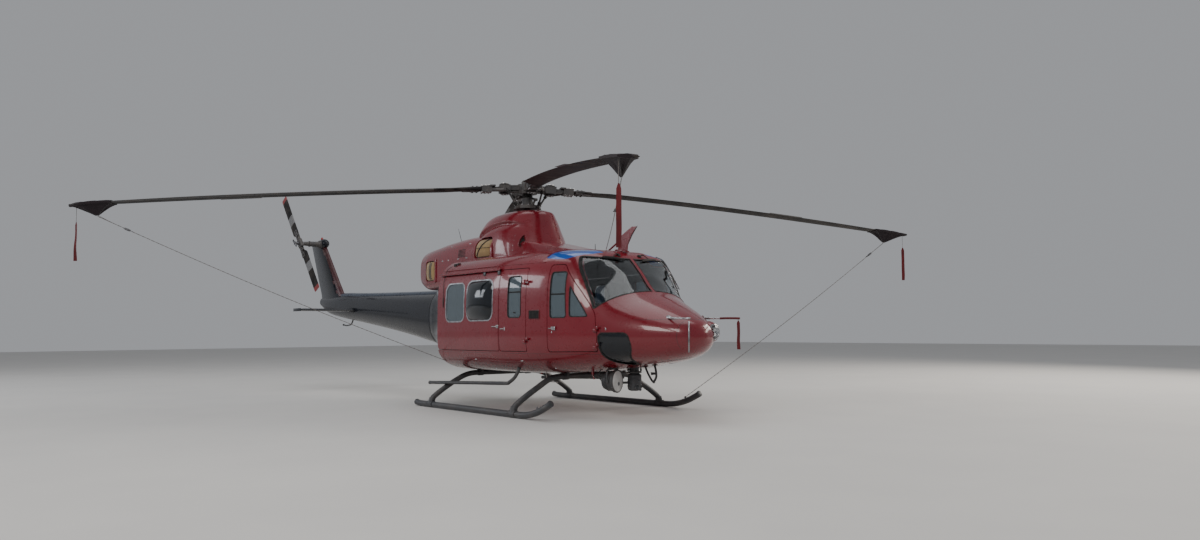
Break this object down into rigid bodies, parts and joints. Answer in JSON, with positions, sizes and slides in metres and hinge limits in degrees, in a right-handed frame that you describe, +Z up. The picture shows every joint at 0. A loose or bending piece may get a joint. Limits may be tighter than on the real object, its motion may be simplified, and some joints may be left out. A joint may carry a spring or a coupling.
{
  "type": "helicopter",
  "caption": "Utility helicopter parked on skids, with drooping main rotor blades in tip covers, hinged crew doors, sliding cabin doors and a tail rotor on the starboard side.",
  "frame": {"origin": "on the ground, under the middle of the bounding box in length and width", "axes": "+X forward to the nose, +Y to port, +Z up"},
  "size_m": [15.934, 12.668, 4.576],
  "materials": {
    "red_paint": "deep crimson gloss",
    "slate_paint": "dark slate satin",
    "dark_steel": "dark grey satin, worn",
    "blade_skin": "matt black",
    "tan_cover": "tan woven cloth",
    "dark_cloth": "dark purple-black woven cloth",
    "window_glass": "clear, lightly tinted",
    "dark_bubble": "dark tinted",
    "seat_cloth": "dark grey cloth",
    "cabin_trim": "dark grey matt",
    "white_paint": "white gloss",
    "engine_metal": "bare cast metal"
  },
  "bodies": {
    "airframe": {"nose_shell": "red_paint", "cabin_belly": "red_paint", "cabin_roof": "red_paint", "cabin_side_right": "red_paint", "cabin_side_left": "red_paint", "cabin_floor": "cabin_trim", "windshield_left": "window_glass", "windshield_right": "window_glass", "rear_body": "red_paint", "tail_boom": "slate_paint", "tail_fin": "slate_paint", "stabiliser_right": "slate_paint", "stabiliser_left": "slate_paint", "mast_fairing": "red_paint", "engine_cowl": "red_paint", "intake_cover_right": "tan_cover", "intake_cover_left": "tan_cover", "exhaust_cover_right": "tan_cover", "exhaust_cover_left": "tan_cover", "engine_block": "engine_metal", "main_gearbox": "engine_metal", "cross_tube_front": "dark_steel", "cross_tube_rear": "dark_steel", "skid_right": "dark_steel", "skid_left": "dark_steel", "step_tube_right": "dark_steel", "step_tube_left": "dark_steel", "searchlight": "white_paint", "camera_turret": "dark_steel", "lower_wire_cutter": "dark_steel", "upper_wire_cutter": "red_paint", "crew_seat_right": "seat_cloth", "crew_seat_left": "seat_cloth", "cabin_bench": "seat_cloth", "instrument_panel": "cabin_trim"},
    "main_rotor": {"rotor_hub": "dark_steel", "main_blade_1": "blade_skin", "main_blade_2": "blade_skin", "main_blade_3": "blade_skin", "main_blade_4": "blade_skin", "tip_cover_1": "dark_cloth", "tip_cover_2": "dark_cloth", "tip_cover_3": "dark_cloth", "tip_cover_4": "dark_cloth"},
    "tail_rotor_body": {"tail_rotor": "blade_skin"},
    "crew_door_right_body": {"crew_door_right": "red_paint", "crew_window_right": "window_glass"},
    "crew_door_left_body": {"crew_door_left": "red_paint", "crew_window_left": "window_glass"},
    "panel_door_right_body": {"panel_door_right": "red_paint", "panel_window_right": "window_glass"},
    "panel_door_left_body": {"panel_door_left": "red_paint", "panel_window_left": "window_glass"},
    "sliding_door_right_body": {"sliding_door_right": "red_paint", "bubble_window_right": "dark_bubble", "rear_window_right": "window_glass"},
    "sliding_door_left_body": {"sliding_door_left": "red_paint", "bubble_window_left": "dark_bubble", "rear_window_left": "window_glass"}
  },
  "joints": [
    {"name": "main_rotor_spin", "type": "hinge", "parent": "airframe", "child": "main_rotor", "pos_m": [1.6, 0, 3.64], "axis": [0, 0, 1], "continuous": true},
    {"name": "tail_rotor_spin", "type": "hinge", "parent": "airframe", "child": "tail_rotor_body", "pos_m": [-7.21, -0.59, 3.38], "axis": [0, 1, 0], "continuous": true},
    {"name": "crew_door_right_hinge", "type": "hinge", "parent": "airframe", "child": "crew_door_right_body", "pos_m": [4.59, -0.94, 1.1], "axis": [0, 0, 1], "range_deg": [0, 85]},
    {"name": "crew_door_left_hinge", "type": "hinge", "parent": "airframe", "child": "crew_door_left_body", "pos_m": [4.59, 0.94, 1.1], "axis": [0, 0, -1], "range_deg": [0, 85]},
    {"name": "panel_door_right_hinge", "type": "hinge", "parent": "airframe", "child": "panel_door_right_body", "pos_m": [3.36, -1.26, 1.5], "axis": [0, 0, 1], "range_deg": [0, 100]},
    {"name": "panel_door_left_hinge", "type": "hinge", "parent": "airframe", "child": "panel_door_left_body", "pos_m": [3.36, 1.26, 1.5], "axis": [0, 0, -1], "range_deg": [0, 100]},
    {"name": "sliding_door_right_slide", "type": "slide", "parent": "airframe", "child": "sliding_door_right_body", "axis": [-1, 0, 0], "range_m": [0, 1.75]},
    {"name": "sliding_door_left_slide", "type": "slide", "parent": "airframe", "child": "sliding_door_left_body", "axis": [-1, 0, 0], "range_m": [0, 1.75]}
  ]
}
